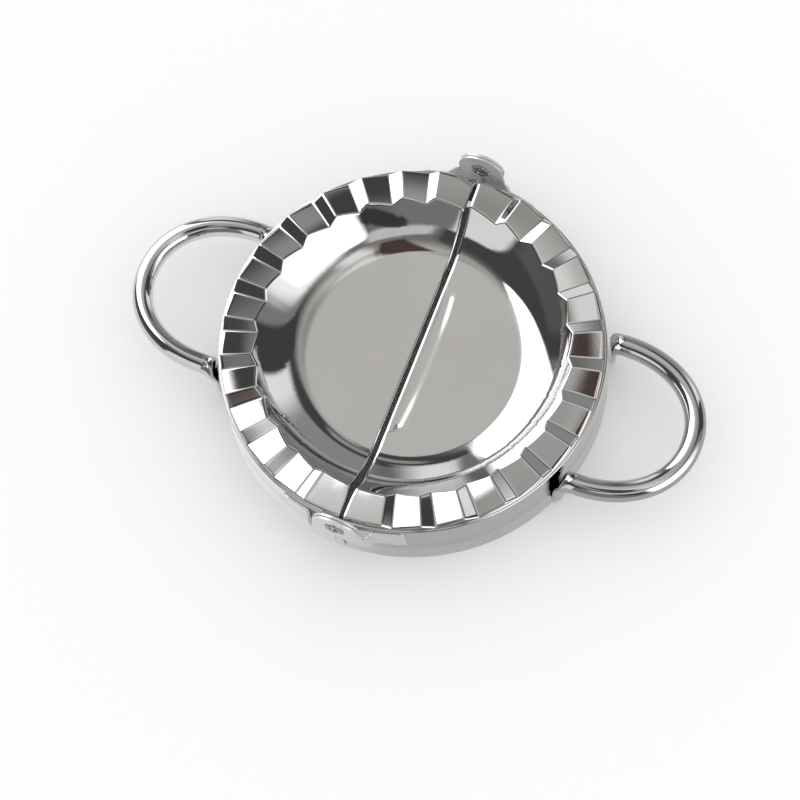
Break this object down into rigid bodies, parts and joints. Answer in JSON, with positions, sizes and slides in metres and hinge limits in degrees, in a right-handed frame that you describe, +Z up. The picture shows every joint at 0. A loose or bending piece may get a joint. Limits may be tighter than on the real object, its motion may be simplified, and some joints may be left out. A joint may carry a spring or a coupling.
{
  "type": "folding dumpling press",
  "caption": "Round folding dumpling press of polished sheet steel, open flat, with toothed rims, riveted hinge ears and a loop handle on each half.",
  "frame": {"origin": "centre of the open press on the plane of the two lower skirt edges, which is the table", "axes": "+X from the left handle to the right handle, +Y along the hinge line towards the rear hinge, +Z up"},
  "size_m": [0.1218, 0.0834, 0.0218],
  "materials": {
    "mold_steel": "mirror polished stainless sheet steel",
    "handle_steel": "polished stainless tube",
    "ear_steel": "satin to polished stainless strip",
    "rivet_steel": "plain tubular steel rivet with spread ends"
  },
  "bodies": {
    "left_half": {"left_half_mold": "mold_steel", "left_handle": "handle_steel", "rear_outer_hinge_ear": "ear_steel", "front_outer_hinge_ear": "ear_steel", "rear_hinge_rivet": "rivet_steel", "front_hinge_rivet": "rivet_steel"},
    "right_half": {"right_half_mold": "mold_steel", "right_handle": "handle_steel", "rear_inner_hinge_ear": "ear_steel", "front_inner_hinge_ear": "ear_steel"}
  },
  "joints": [
    {"name": "fold", "type": "hinge", "parent": "left_half", "child": "right_half", "pos_m": [0, 0, 0.017], "axis": [0, -1, 0], "range_deg": [0, 182]}
  ]
}
